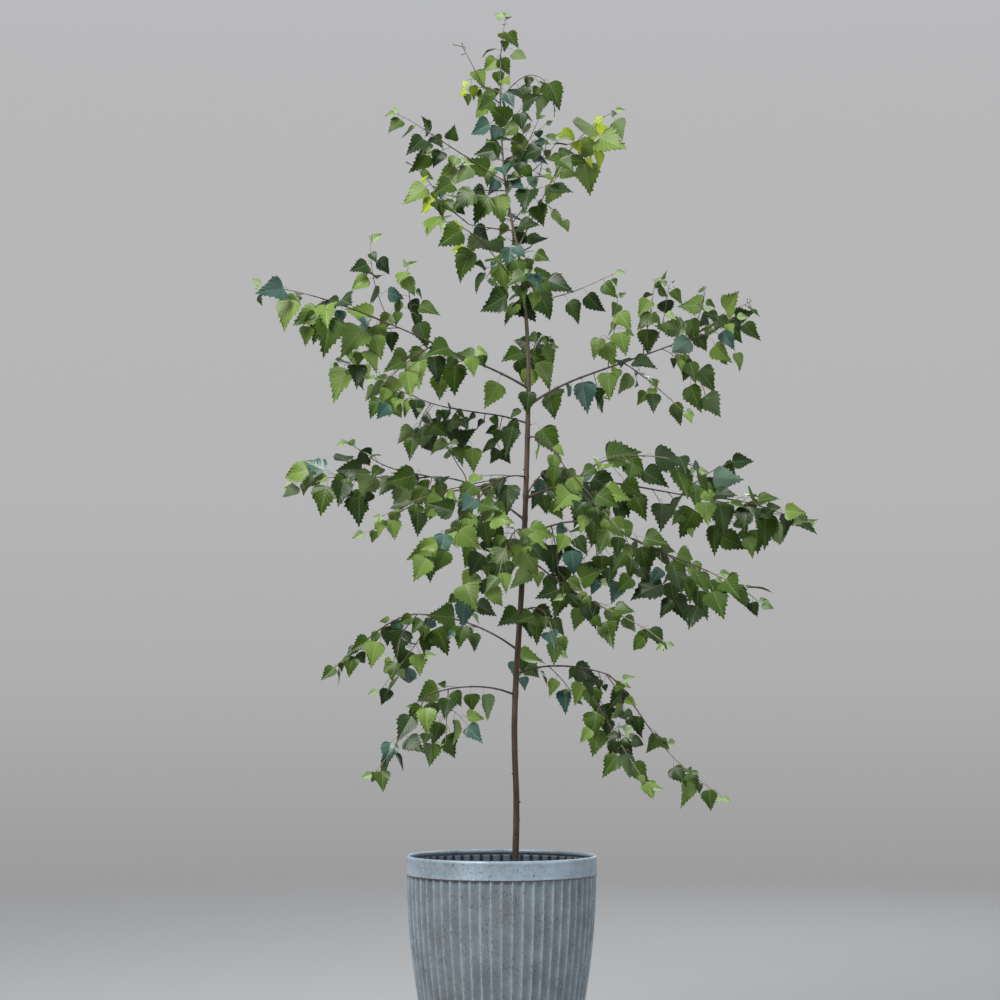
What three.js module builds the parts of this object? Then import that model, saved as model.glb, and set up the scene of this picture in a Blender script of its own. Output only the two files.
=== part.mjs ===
// A young silver birch growing in a fluted zinc tub, 2.49 m tall from the ground to its tip.
// Millimetres, +Z up. The origin is the middle of the tub's flat underside, +X is the tree's
// right and +Y its back. Headings are degrees round from +X towards +Y: 0 right, 90 back,
// 180 left, 270 front. Rises are degrees above the horizontal.
import * as THREE from 'three';

const GAP = 0.3;                    // clearance between pieces that touch

// ---- tub ----
const TUB_HEIGHT = 485;
const TUB_RIM_DIAMETER = 450;
const TUB_BASE_DIAMETER = 332;
const RIM_BAND_HEIGHT = 42;
const RIM_ROLL = 8;                 // thickness of the folded edge, seen from above
const RIM_ROLL_HEIGHT = 13;         // how far the fold reaches down inside
const RIM_SHEET = 2;
const RIM_LIP = 4;                  // how far the band's outer edge hangs below its inner one
const RIM_ROUNDING = { across: 2.5, down: 4 };
const BODY_SHEET = 2.5;
const BODY_BULGE = 1.85;            // 1 would be a straight cone
const FLUTES = 56;
const FLUTE_DEPTH = 4.5;
const SOIL_LEVEL = 410;
const RIM_UNDERSIDE = TUB_HEIGHT - RIM_BAND_HEIGHT;
// The fluted wall runs up inside the rim band, to just under the folded edge.
const TUB_ROWS = [0, 130, 290, SOIL_LEVEL, RIM_UNDERSIDE, TUB_HEIGHT - RIM_ROLL_HEIGHT - GAP];

// ---- trunk: height above the ground, offset to the right, offset to the back, diameter ----
const TRUNK_STATIONS = [
  { height: SOIL_LEVEL + GAP, right: 31, back: 0, diameter: 21 },
  { height: 432, right: 31, back: 0, diameter: 16 },
  { height: 590, right: 35, back: -2, diameter: 14.4 },
  { height: 800, right: 30.5, back: -3, diameter: 14 },
  { height: 1180, right: 51.5, back: 3, diameter: 13.2 },
  { height: 1445, right: 61, back: 8, diameter: 12 },
  { height: 1660, right: 64, back: 6, diameter: 10 },
  { height: 1805, right: 55, back: 2, diameter: 8.2 },
  { height: 1925, right: 39, back: -2, diameter: 6.8 },
  { height: 2070, right: 11, back: -3, diameter: 5.2 },
  { height: 2275, right: -3, back: 0, diameter: 3.6 },
  { height: 2390, right: -2, back: 2, diameter: 2.4 },
];
const FLARE_PLACES = [0, 0.012];    // rings through the root flare, as parts of the trunk's length
const SHAFT_START = 0.03;           // where the evenly spaced rings begin
const SHAFT_RINGS = 26;
const TRUNK_SIDES = 10;

// ---- boughs: thick gives the diameters at the root and where the foliage starts ----
const BOUGHS = [
  { name: 'left_1', height: 860, heading: 205, rises: [20, 4, -8, -20], length: 228, thick: [5, 3] },
  { name: 'left_2', height: 966, heading: 160, rises: [35, 24, 12, 2], length: 270, thick: [5.6, 3.2] },
  { name: 'left_3', height: 1378, heading: 235, rises: [4, -14, -30], length: 155, thick: [4, 3] },
  { name: 'left_4', height: 1275, heading: 150, rises: [36, 33, 16, 0], length: 296, thick: [6, 3.4] },
  { name: 'left_5', height: 1507, heading: 145, rises: [20, 10, 12, 22], length: 330, thick: [4.6, 2.8] },
  { name: 'left_6', height: 1592, heading: 200, rises: [27, 19, 22, 18], length: 383, thick: [6.6, 3.4] },
  { name: 'left_7', height: 1816, heading: 215, rises: [47, 41], length: 134, thick: [4, 3] },
  { name: 'left_8', height: 1972, heading: 165, rises: [8, 14], length: 111, thick: [3.4, 2.6] },
  { name: 'left_9', height: 2092, heading: 190, rises: [31, 31], length: 101, thick: [3.2, 2.6] },
  { name: 'right_1', height: 910, heading: -25, rises: [19, 3, -8, -18], length: 232, thick: [5.4, 3.4] },
  { name: 'right_3', height: 1234, heading: -15, rises: [27, 10, -15, -34], length: 268, thick: [6, 3.6] },
  { name: 'right_4', height: 1327, heading: 12, rises: [26, 5, -9, -9], length: 400, thick: [6.8, 3.4] },
  { name: 'right_5', height: 1474, heading: -60, rises: [0, -32, -46], length: 190, thick: [4.2, 3] },
  { name: 'right_6', height: 1550, heading: 28, rises: [34, 21, 20, 22], length: 475, thick: [7, 3.2] },
  { name: 'right_7', height: 1928, heading: 15, rises: [64, 63], length: 176, thick: [4.2, 2.8] },
  { name: 'back_2', height: 1330, heading: 75, rises: [30, 15], length: 170, thick: [5, 3.2] },
];
const BOUGH_SIDES = 6;
const BOUGH_STEP = 34;              // distance between rings along a bough
const BOUGH_LEAST_STEPS = 4;
const LEAVING_PASSES = 4;           // rounds of moving a limb's root clear of the bark

// ---- foliage: each mass starts on a bough, at a fraction of its length, or on the trunk, ----
// ---- at a height, and size gives its reach to each side, above and below its own shoot   ----
const MASSES = [
  { name: 'left_1', on: 'left_1', heading: 205, rises: [-62, -54, -52, -42],
    length: 265, size: [32, 12, 50] },
  { name: 'left_1_hang', on: 'left_1', at: 0.74, heading: 262, rises: [-66, -84],
    length: 160, size: [46, 32, 36] },
  { name: 'left_2', on: 'left_2', heading: 160, rises: [-5, -32, -36, -42, -62],
    length: 315, size: [36, 14, 54] },
  { name: 'left_2_hang', on: 'left_2', at: 0.85, heading: 215, rises: [-62, -46, -50],
    length: 275, size: [46, 24, 50] },
  { name: 'left_3', on: 'left_3', heading: 235, rises: [-32, -36, -36, -44],
    length: 350, size: [66, 30, 90] },
  { name: 'left_4', on: 'left_4', heading: 150, rises: [0, 5, 0, -3], length: 420, size: [50, 50, 74] },
  { name: 'left_4_rise', on: 'left_4', at: 0.6, heading: 185, rises: [62, 58, 48],
    length: 205, size: [56, 36, 50] },
  { name: 'left_5', on: 'left_5', heading: 145, rises: [20, 24, 28, 15], length: 300, size: [46, 34, 84] },
  { name: 'left_6', on: 'left_6', heading: 200, rises: [20, 16, 10, -2], length: 325, size: [46, 18, 112] },
  { name: 'left_6_rise', on: 'left_6', at: 0.94, heading: 180, rises: [56, 76, 90],
    length: 200, size: [36, 26, 26] },
  { name: 'left_7', on: 'left_7', heading: 215, rises: [42, 20, -5], length: 165, size: [42, 22, 84] },
  { name: 'left_8', on: 'left_8', heading: 165, rises: [35, 50, 55, 35], length: 215, size: [40, 22, 54] },
  { name: 'left_9', on: 'left_9', heading: 190, rises: [30, 32, 32, 18], length: 212, size: [42, 10, 100] },
  { name: 'right_1', on: 'right_1', heading: -25, rises: [-40, -56, -52, -42, -32, -36],
    length: 436, size: [32, 12, 50] },
  { name: 'right_1_hang', on: 'right_1', at: 0.7, heading: -48, rises: [-62, -50, -48, -42],
    length: 394, size: [52, 22, 46] },
  { name: 'right_3', on: 'right_3', heading: -15, rises: [-26, -22, -24, -32, -52],
    length: 380, size: [52, 15, 92] },
  { name: 'right_4', on: 'right_4', heading: 12, rises: [-9, -10, -12, -32],
    length: 350, size: [50, 18, 94] },
  { name: 'right_4_rise', on: 'right_4', at: 0.97, heading: 38, rises: [38, 26, 10],
    length: 235, size: [34, 24, 46] },
  { name: 'right_4_arch', on: 'right_4', at: 0.28, heading: -15, rises: [50, 16, -2, -16, -38],
    length: 370, size: [42, 15, 68] },
  { name: 'right_5', on: 'right_5', heading: -60, rises: [-33, -35, -36], length: 321, size: [56, 30, 66] },
  { name: 'right_6', on: 'right_6', heading: 28, rises: [28, 32, 26], length: 230, size: [50, 44, 130] },
  { name: 'right_6_hang', on: 'right_6', at: 0.6, heading: -20, rises: [-34, -42, -46],
    length: 240, size: [44, 12, 72] },
  { name: 'right_6_rise', on: 'right_6', at: 0.5, heading: 20, rises: [75, 82, 85],
    length: 175, size: [44, 30, 30] },
  { name: 'right_6_rise_2', on: 'right_6', at: 0.73, heading: 40, rises: [78, 76, 80],
    length: 190, size: [46, 30, 30] },
  { name: 'right_7', on: 'right_7', heading: 15, rises: [62, 56, 45, 20], length: 265, size: [46, 22, 64] },
  { name: 'right_low', on: 'trunk', at: 1061, heading: -60, rises: [8, -5, -55, -62, -55],
    length: 270, size: [46, 15, 70] },
  { name: 'right_2', on: 'trunk', at: 1196, heading: -40, rises: [-38, -30, -26, -20, -28, -42],
    length: 505, size: [50, 34, 60] },
  { name: 'right_high', on: 'trunk', at: 1790, heading: -10, rises: [17, 13, 24, 20],
    length: 240, size: [34, 14, 62] },
  { name: 'front_1', on: 'trunk', at: 1240, heading: 258, rises: [15, -15, -30, -45, -55],
    length: 400, size: [58, 22, 66] },
  { name: 'front_high', on: 'trunk', at: 1835, heading: 275, rises: [25, 0, -40],
    length: 200, size: [54, 25, 96] },
  { name: 'back_1', on: 'trunk', at: 925, heading: 88, rises: [25, 10, 0, -25, -45],
    length: 400, size: [46, 22, 60] },
  { name: 'back_2', on: 'back_2', heading: 75, rises: [10, -10, -30], length: 320, size: [50, 22, 70] },
  { name: 'back_3', on: 'trunk', at: 1640, heading: 82, rises: [35, 25, 20, 10, -10],
    length: 430, size: [50, 22, 70] },
  { name: 'top_left', on: 'trunk', at: 2285, heading: 185, rises: [35, 65, 60],
    length: 165, size: [34, 22, 62] },
  { name: 'top_right', on: 'trunk', at: 2290, heading: -38, rises: [50, 20, -50, -86],
    length: 230, size: [36, 16, 60] },
  { name: 'top_arm', on: 'trunk', at: 2138, heading: 10, rises: [35, 50, 40],
    length: 140, size: [52, 24, 72] },
  { name: 'top', on: 'trunk', at: 'tip', heading: 0, rises: [88, 80], length: 98, size: [34, 30, 30] },
  { name: 'left_3_out', on: 'left_3', at: 0.7, heading: 190, rises: [-8, -14, -24, -34],
    length: 330, size: [34, 14, 50] },
  { name: 'left_6_hang', on: 'left_6', at: 0.64, heading: 208, rises: [-25, -42, -44],
    length: 225, size: [60, 34, 64] },
  { name: 'left_6_rise_2', on: 'left_6', at: 0.77, heading: 170, rises: [70, 84, 88],
    length: 160, size: [50, 26, 26] },
];
const MASS_SIDES = 8;
const MASS_RINGS = [0.06, 0.24, 0.43, 0.62, 0.8, 0.94];   // fractions of a mass's length
const MASS_ROUTE_STEPS = 24;
const MASS_SWELL = { skew: 0.8, fullness: 0.55 };
const MASS_UPRIGHT = 0.8;           // thickness of a mass on an upright shoot, against its width
const MASS_UNEVEN = 0.24;           // how much its outline wanders
const FIRST_SEED = 11;
const STALK_RADIUS = 2.4;           // where the shoot enters the mass
const POINT_GAP = 0.4;              // a mass starts in a point this far off its limb

const BARK = new THREE.MeshStandardMaterial({ color: 0x6b4f40, roughness: 0.7, metalness: 0 });
const TWIG = new THREE.MeshStandardMaterial({ color: 0x3c2b27, roughness: 0.6, metalness: 0 });
const LEAF = new THREE.MeshStandardMaterial({ color: 0x3f6a24, roughness: 0.5, metalness: 0 });
const ZINC = new THREE.MeshStandardMaterial({ color: 0x9aa5ab, roughness: 0.45, metalness: 0.8 });
const SOIL = new THREE.MeshStandardMaterial({ color: 0x3a2c22, roughness: 0.95, metalness: 0 });

const radians = THREE.MathUtils.degToRad;

function seededRandom(seed) {
  let state = seed;
  return () => {
    state = (state * 1664525 + 1013904223) % 4294967296;
    return state / 4294967296;
  };
}

// Reads a short list of values as a line over 0..1.
function along(values, t) {
  const place = THREE.MathUtils.clamp(t, 0, 1) * (values.length - 1);
  const index = Math.min(Math.floor(place), values.length - 2);
  return THREE.MathUtils.lerp(values[index], values[index + 1], place - index);
}

function direction(heading, rise) {
  const flat = Math.cos(radians(rise));
  return new THREE.Vector3(
    flat * Math.cos(radians(heading)), flat * Math.sin(radians(heading)), Math.sin(radians(rise)));
}

// A closed body from rings of points; each end is a flat cap, or a point where one is given.
function ringSolid(rings, startPoint = null, endPoint = null) {
  const points = rings.flat();
  const sides = rings[0].length;
  const last = (rings.length - 1) * sides;
  const faces = [];
  for (let ring = 0; ring < rings.length - 1; ring += 1) {
    for (let side = 0; side < sides; side += 1) {
      const next = (side + 1) % sides;
      const [a, b] = [ring * sides + side, ring * sides + next];
      faces.push(a, b, b + sides, a, b + sides, a + sides);
    }
  }
  const startTip = startPoint ? points.push(startPoint) - 1 : null;
  const endTip = endPoint ? points.push(endPoint) - 1 : null;
  for (let side = 0; side < sides; side += 1) {
    const next = (side + 1) % sides;
    if (startPoint) faces.push(startTip, next, side);
    else if (side > 0 && next > 0) faces.push(0, next, side);
    if (endPoint) faces.push(endTip, last + side, last + next);
    else if (side > 0 && next > 0) faces.push(last, last + side, last + next);
  }
  const geometry = new THREE.BufferGeometry();
  geometry.setFromPoints(points);
  geometry.setIndex(faces);
  geometry.computeVertexNormals();
  return geometry;
}

// The centre line of a limb or shoot: points with their directions, evenly stepped.
function limbRoute(start, heading, rises, length, steps) {
  const route = [{ point: start.clone(), ahead: direction(heading, rises[0]) }];
  for (let step = 1; step <= steps; step += 1) {
    const halfway = direction(heading, along(rises, (step - 0.5) / steps));
    const point = route[step - 1].point.clone().addScaledVector(halfway, length / steps);
    route.push({ point, ahead: direction(heading, along(rises, step / steps)) });
  }
  return route;
}

function pointOnRoute(route, fraction) {
  const place = THREE.MathUtils.clamp(fraction, 0, 1) * (route.length - 1);
  const index = Math.min(Math.floor(place), route.length - 2);
  const point = route[index].point.clone().lerp(route[index + 1].point, place - index);
  const ahead = route[index].ahead.clone().lerp(route[index + 1].ahead, place - index).normalize();
  return { point, ahead };
}

// One ring across a limb: out to the side, up and down.
function crossRing({ point, ahead }, heading, sides, reach) {
  const side = new THREE.Vector3(-Math.sin(radians(heading)), Math.cos(radians(heading)), 0);
  const up = new THREE.Vector3().crossVectors(ahead, side).normalize();
  return Array.from({ length: sides }, (_, index) => {
    const angle = (2 * Math.PI * index) / sides;
    const [out, rise] = reach(angle, index);
    return point.clone().addScaledVector(side, out).addScaledVector(up, rise);
  });
}

function roundRing(place, heading, sides, radius) {
  return crossRing(place, heading, sides, (angle) => [radius * Math.cos(angle), radius * Math.sin(angle)]);
}

// ---- the tub ----
function bodyRadius(height) {
  const top = TUB_RIM_DIAMETER / 2 - RIM_SHEET - GAP;
  const base = TUB_BASE_DIAMETER / 2;
  const t = Math.min(1, height / RIM_UNDERSIDE);
  return base + (top - base) * (1 - (1 - t) ** BODY_BULGE);
}

function hoop(radius, height, count, ripple = 0) {
  return Array.from({ length: count }, (_, index) => {
    const angle = (2 * Math.PI * index) / count;
    const reach = radius - (index % 2 ? ripple : 0);
    return new THREE.Vector3(reach * Math.cos(angle), reach * Math.sin(angle), height);
  });
}

function tubBody() {
  const outside = TUB_ROWS.map((row) => hoop(bodyRadius(row), row, 2 * FLUTES, FLUTE_DEPTH));
  const insideRows = [BODY_SHEET, ...TUB_ROWS.slice(1)].reverse();
  const inside = insideRows.map((row) => {
    const radius = bodyRadius(row > BODY_SHEET ? row : 0) - BODY_SHEET;
    return hoop(radius, row, 2 * FLUTES, FLUTE_DEPTH);
  });
  const rings = [...outside, ...inside];
  const middle = (height) => new THREE.Vector3(0, 0, height);
  return ringSolid(rings, middle(0), middle(BODY_SHEET));
}

function tubRim() {
  const outer = TUB_RIM_DIAMETER / 2;
  const legInside = outer - RIM_SHEET;
  const rollInside = outer - RIM_ROLL;
  const rollLow = TUB_HEIGHT - RIM_ROLL_HEIGHT;
  const shoulder = TUB_HEIGHT - RIM_ROUNDING.down;
  const profile = [
    [legInside, RIM_UNDERSIDE + GAP], [outer, RIM_UNDERSIDE - RIM_LIP], [outer, shoulder],
    [outer - RIM_ROUNDING.across, TUB_HEIGHT], [rollInside + RIM_ROUNDING.across, TUB_HEIGHT],
    [rollInside, shoulder],
    [rollInside, rollLow], [legInside, rollLow], [legInside, RIM_UNDERSIDE + GAP],
  ];
  const points = profile.map(([radius, height]) => new THREE.Vector2(radius, height));
  const lathe = new THREE.LatheGeometry(points, FLUTES);
  lathe.rotateX(Math.PI / 2);
  return lathe;
}

function pottingSoil() {
  const rows = [BODY_SHEET + GAP, ...TUB_ROWS.slice(1, 4)];
  const rings = rows.map((row) => {
    const wall = bodyRadius(row > BODY_SHEET + GAP ? row : 0);
    return hoop(wall - BODY_SHEET - FLUTE_DEPTH - GAP, row, FLUTES);
  });
  return ringSolid(rings);
}

// ---- the trunk ----
function trunkRings() {
  const heights = TRUNK_STATIONS.map((station) => station.height);
  const line = new THREE.CatmullRomCurve3(
    TRUNK_STATIONS.map(({ right, back, height }) => new THREE.Vector3(right, back, height)));
  const radiusAt = (height) => {
    const above = Math.max(1, heights.findIndex((value) => value >= height - 1e-6));
    const [low, high] = [TRUNK_STATIONS[above - 1], TRUNK_STATIONS[above]];
    const t = (height - low.height) / (high.height - low.height);
    return THREE.MathUtils.lerp(low.diameter, high.diameter, t) / 2;
  };
  const shaft = Array.from({ length: SHAFT_RINGS }, (_, index) => (
    THREE.MathUtils.lerp(SHAFT_START, 1, index / (SHAFT_RINGS - 1))));
  const places = [...FLARE_PLACES, ...shaft];
  return places.map((place) => {
    const centre = line.getPointAt(place);
    return { centre, radius: radiusAt(Math.min(centre.z, heights.at(-1))) };
  });
}

function trunkAt(rings, height) {
  const above = Math.max(1, rings.findIndex(({ centre }) => centre.z >= height));
  const [low, high] = [rings[above - 1], rings[above]];
  const t = (height - low.centre.z) / (high.centre.z - low.centre.z);
  const centre = low.centre.clone().lerp(high.centre, t);
  return { centre, radius: THREE.MathUtils.lerp(low.radius, high.radius, t) };
}

function trunkSolid(rings) {
  return ringSolid(rings.map(({ centre, radius }) => (
    hoop(radius, centre.z, TRUNK_SIDES).map((p) => p.add(new THREE.Vector3(centre.x, centre.y, 0))))));
}

// Where a limb leaves the trunk: its end face stands clear of the bark by the gap.
function leaveTrunk(trunk, height, heading, rise, radius, gap) {
  const ahead = direction(heading, rise);
  const start = trunkAt(trunk, height).centre;
  for (let pass = 0; pass < LEAVING_PASSES; pass += 1) {
    const edge = roundRing({ point: start, ahead }, heading, BOUGH_SIDES, radius);
    const clear = edge.map((point) => {
      const { centre, radius: bark } = trunkAt(trunk, point.z);
      return Math.hypot(point.x - centre.x, point.y - centre.y) - bark;
    });
    start.addScaledVector(ahead, (gap - Math.min(...clear)) / Math.hypot(ahead.x, ahead.y));
  }
  return start;
}

// ---- boughs ----
function makeBough({ height, heading, rises, length, thick }, trunk) {
  const start = leaveTrunk(trunk, height, heading, rises[0], thick[0] / 2, GAP);
  const steps = Math.max(BOUGH_LEAST_STEPS, Math.round(length / BOUGH_STEP));
  const route = limbRoute(start, heading, rises, length, steps);
  const radii = route.map((_, step) => along(thick, step / steps) / 2);
  const rings = route.map((place, step) => roundRing(place, heading, BOUGH_SIDES, radii[step]));
  return { route, thick, geometry: ringSolid(rings) };
}

// ---- foliage ----
function massStart({ on, at = 1, heading, rises }, trunk, boughs) {
  const ahead = direction(heading, rises[0]);
  if (at === 'tip') return trunk.at(-1).centre.clone().addScaledVector(ahead, POINT_GAP);
  if (on === 'trunk') return leaveTrunk(trunk, at, heading, rises[0], 0, POINT_GAP);
  const { route, thick } = boughs[on];
  const place = pointOnRoute(route, at);
  if (at === 1) return place.point.addScaledVector(place.ahead, POINT_GAP);
  const sideways = ahead.clone().addScaledVector(place.ahead, -ahead.dot(place.ahead)).normalize();
  return place.point.addScaledVector(sideways, along(thick, at) / 2 + POINT_GAP);
}

function makeMass(mass, seed, trunk, boughs) {
  const { heading, rises, length, size: [wide, above, below] } = mass;
  const random = seededRandom(seed);
  const route = limbRoute(massStart(mass, trunk, boughs), heading, rises, length,
    MASS_ROUTE_STEPS);
  const swell = (t) => Math.sin(Math.PI * t ** MASS_SWELL.skew) ** MASS_SWELL.fullness;
  const rings = MASS_RINGS.map((t, ring) => {
    const place = pointOnRoute(route, t);
    if (ring === 0) return roundRing(place, heading, MASS_SIDES, STALK_RADIUS);
    const level = Math.hypot(place.ahead.x, place.ahead.y);
    const up = THREE.MathUtils.lerp(MASS_UPRIGHT * wide, above, level);
    const down = THREE.MathUtils.lerp(MASS_UPRIGHT * wide, below, level);
    return crossRing(place, heading, MASS_SIDES, (angle) => {
      const reach = swell(t) * (1 + MASS_UNEVEN * (2 * random() - 1));
      return [reach * wide * Math.cos(angle), reach * Math.sin(angle) * (Math.sin(angle) > 0 ? up : down)];
    });
  });
  return ringSolid(rings, route[0].point, route.at(-1).point);
}

function addPiece(group, name, geometry, material) {
  const piece = new THREE.Mesh(geometry, material.clone());
  piece.name = name;
  group.add(piece);
}

function buildTree() {
  const tree = new THREE.Group();
  addPiece(tree, 'tub_body', tubBody(), ZINC);
  addPiece(tree, 'tub_rim', tubRim(), ZINC);
  addPiece(tree, 'potting_soil', pottingSoil(), SOIL);
  const trunk = trunkRings();
  addPiece(tree, 'trunk', trunkSolid(trunk), BARK);
  const boughs = {};
  for (const row of BOUGHS) {
    boughs[row.name] = makeBough(row, trunk);
    addPiece(tree, `bough_${row.name}`, boughs[row.name].geometry, TWIG);
  }
  MASSES.forEach((row, index) => {
    addPiece(tree, `foliage_${row.name}`, makeMass(row, FIRST_SEED + index, trunk, boughs), LEAF);
  });
  return tree;
}

export default buildTree();
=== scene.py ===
"""A young silver birch in a fluted zinc tub: its looks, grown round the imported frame.

Metres, +Z up, +Y to the tree's back. The limbs' lines and the shoots' lines are read from the
frame's solids, and twigs, petioles and leaves grow on from them by a seeded rule.
"""
import itertools
import math
import random

import bpy
import numpy as np
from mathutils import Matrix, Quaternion, Vector, noise

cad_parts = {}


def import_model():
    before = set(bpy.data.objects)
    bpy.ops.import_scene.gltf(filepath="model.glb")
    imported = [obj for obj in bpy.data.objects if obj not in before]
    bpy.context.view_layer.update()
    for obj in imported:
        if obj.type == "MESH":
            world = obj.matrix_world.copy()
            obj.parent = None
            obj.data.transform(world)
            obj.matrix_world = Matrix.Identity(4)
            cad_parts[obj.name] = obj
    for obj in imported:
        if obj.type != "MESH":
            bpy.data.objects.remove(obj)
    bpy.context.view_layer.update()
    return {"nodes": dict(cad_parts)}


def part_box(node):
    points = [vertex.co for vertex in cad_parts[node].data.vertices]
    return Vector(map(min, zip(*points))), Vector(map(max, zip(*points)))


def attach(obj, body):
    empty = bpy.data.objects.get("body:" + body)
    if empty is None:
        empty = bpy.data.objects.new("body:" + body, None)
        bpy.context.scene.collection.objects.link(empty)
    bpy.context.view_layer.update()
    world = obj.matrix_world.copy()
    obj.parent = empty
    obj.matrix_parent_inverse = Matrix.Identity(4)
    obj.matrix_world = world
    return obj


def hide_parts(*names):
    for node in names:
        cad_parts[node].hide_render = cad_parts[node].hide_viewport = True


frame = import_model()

SEED = 7
UP, DOWN = Vector((0, 0, 1)), Vector((0, 0, -1))
NODES = frame["nodes"]
MASSES = sorted(n for n in NODES if n.startswith("foliage_"))
BOUGHS = sorted(n for n in NODES if n.startswith("bough_"))

# ---- camera: eye level with the foot of the crown, looking a little up ----
CAMERA_AT = (-0.0038, -5.65, 0.85)
CAMERA_PITCH = math.radians(4.784)
CAMERA_LENS, SENSOR = 85.68, 36  # millimetres


def by_name(rows):
    """Rows of (value, names) as {name: value}."""
    return {name: value for value, names in rows for name in names.split()}


# ---- the colours of each mass and bough: shares of deep, teal, mid, fresh and bright leaves, ----
# which paint each mass's light and shade: deep is painted shade, teal a painted sky reflection,
# fresh partly its own lighter green and partly painted light, bright painted sunlight ----
# DARK paints shade; LIGHT, SUNNY, GOLDEN and PALE paint light; COOL paints sky reflection
PLAIN = (0.26, 0.1, 0.43, 0.21, 0.0)
EVEN = (0.26, 0.1, 0.5, 0.14, 0.0)
DARK = (0.36, 0.1, 0.4, 0.14, 0.0)
LIGHT = (0.14, 0.05, 0.38, 0.43, 0.0)
SUNNY = (0.14, 0.08, 0.26, 0.34, 0.18)
GOLDEN = (0.08, 0.05, 0.2, 0.4, 0.27)
COOL = (0.28, 0.32, 0.32, 0.08, 0.0)
PALE = (0.04, 0.2, 0.16, 0.42, 0.18)
TONES = by_name((  # PLAIN for the rest
    (PALE, "top"),
    (GOLDEN, "top_left right_7"),
    (SUNNY, "left_7 left_8"),
    (COOL, "top_arm front_high"),
    (DARK, "top_right left_1 left_1_hang left_5 right_1 right_1_hang right_low"),
    (LIGHT, "left_3 left_3_out left_4_rise left_6 left_6_hang left_6_rise left_6_rise_2 "
            "right_2 right_5 right_6 right_6_rise right_6_rise_2 front_1"),
    (EVEN, "left_2 left_2_hang left_4 right_3 right_4 right_4_arch right_4_rise right_6_hang")))

# ---- how thickly each mass is leafed: metres between nodes, a choice of leaves to the node, the
# chance of a twig at it, and the leaves' size against the usual ----
USUAL = (0.015, (0, 1, 1), 0.8, 1.04)
GROWTH = by_name((  # USUAL for the rest
    ((0.034, (0, 1), 0.35, 0.9), "back_1"),
    ((0.022, (1,), 0.45, 0.96),
     "back_2 back_3 left_1 right_6_rise right_6_hang right_high top_right"),
    ((0.013, (0, 1, 1), 0.85, 1.08), "front_high left_4"),
    ((0.0125, (0, 1, 1), 0.85, 1.18),
     "left_4_rise left_6 left_7 left_8 right_3 right_4 right_4_arch right_6 right_7 top_arm"),
    ((0.014, (0, 1, 1), 0.78, 0.92), "left_1_hang right_1 right_1_hang right_2 top_left"),
    ((0.0105, (0, 1, 1), 0.85, 0.94), "left_2 left_2_hang right_low"),
    ((0.015, (1, 1, 2), 0.45, 0.9), "left_6_rise right_6_rise_2"),
    ((0.0115, (1, 1, 2), 0.6, 0.94), "left_6_rise_2 right_4_rise"),
    ((0.013, (1, 1, 2), 0.3, 0.7), "top")))
LEAFY_FROM = {  # the part of a shoot that is bare before its first leaf
    "left_6_rise": 0.4, "left_6_rise_2": 0.4, "right_6_rise": 0.45, "right_6_rise_2": 0.35,
    "right_4_rise": 0.15, "left_4_rise": 0.45, "right_high": 0.35,
}
BARE_TIPS = ("left_8", "top_left", "top_right", "right_6")  # masses whose shoot ends in buds

# ---- leaves hanging from the boughs: from which part on, and nodes to the metre ----
BOUGH_LEAVES = {
    "left_1": (0.32, 38), "left_2": (0.32, 36), "left_3": (0.3, 34), "left_4": (0.48, 28),
    "left_5": (0.06, 38), "left_6": (0.16, 28), "left_7": (0.25, 34), "left_8": (0.25, 38),
    "left_9": (0.35, 24), "right_1": (0.2, 50), "right_3": (0.32, 30), "right_4": (0.3, 28),
    "right_5": (0.3, 34), "right_6": (0.12, 32), "right_7": (0.65, 26), "back_2": (0.35, 34),
}

# ---- short shoots between the masses: their limb, how far along it they start, how far they run
# to the right, to the back and up, how far their leaves reach from them, and their tones ----
SPRIGS = (
    ("left_1", 0.98, (0.015, -0.03, -0.11), 0.03, DARK),
    ("left_2", 0.98, (-0.06, -0.03, -0.13), 0.035, EVEN),
    ("right_1", 0.96, (0.045, -0.05, -0.115), 0.035, DARK),
    ("left_3", 0.95, (-0.05, -0.03, -0.29), 0.045, LIGHT),
    ("left_3", 0.85, (-0.29, -0.02, -0.115), 0.022, LIGHT),
    ("left_4", 0.96, (-0.2, 0.02, 0.085), 0.025, PLAIN),
    ("left_6", 0.98, (-0.09, -0.02, -0.11), 0.035, LIGHT),
    ("left_5", 0.88, (-0.03, -0.02, -0.08), 0.04, DARK),
    ("left_5", 0.7, (-0.01, -0.02, -0.09), 0.04, DARK),
    ("left_5", 0.62, (0.0, -0.06, -0.08), 0.035, DARK),
    ("left_9", 0.95, (-0.055, -0.03, -0.085), 0.035, PLAIN),
    ("right_3", 0.25, (0.02, -0.03, -0.17), 0.04, PLAIN),
    ("right_3", 0.6, (0.02, 0.03, -0.13), 0.04, PLAIN),
    ("right_3", 0.98, (0.15, 0.02, -0.105), 0.035, PLAIN),
    ("right_4", 0.96, (0.27, -0.08, -0.065), 0.045, PLAIN),
    ("right_6", 0.93, (0.075, -0.02, -0.13), 0.04, PLAIN),
    ("right_6", 0.98, (0.06, 0.02, 0.125), 0.03, LIGHT),
    ("right_6", 0.99, (0.12, -0.06, 0.05), 0.035, PLAIN),
    ("right_6", 0.77, (0.05, 0.0, 0.165), 0.02, LIGHT),
)
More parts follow.
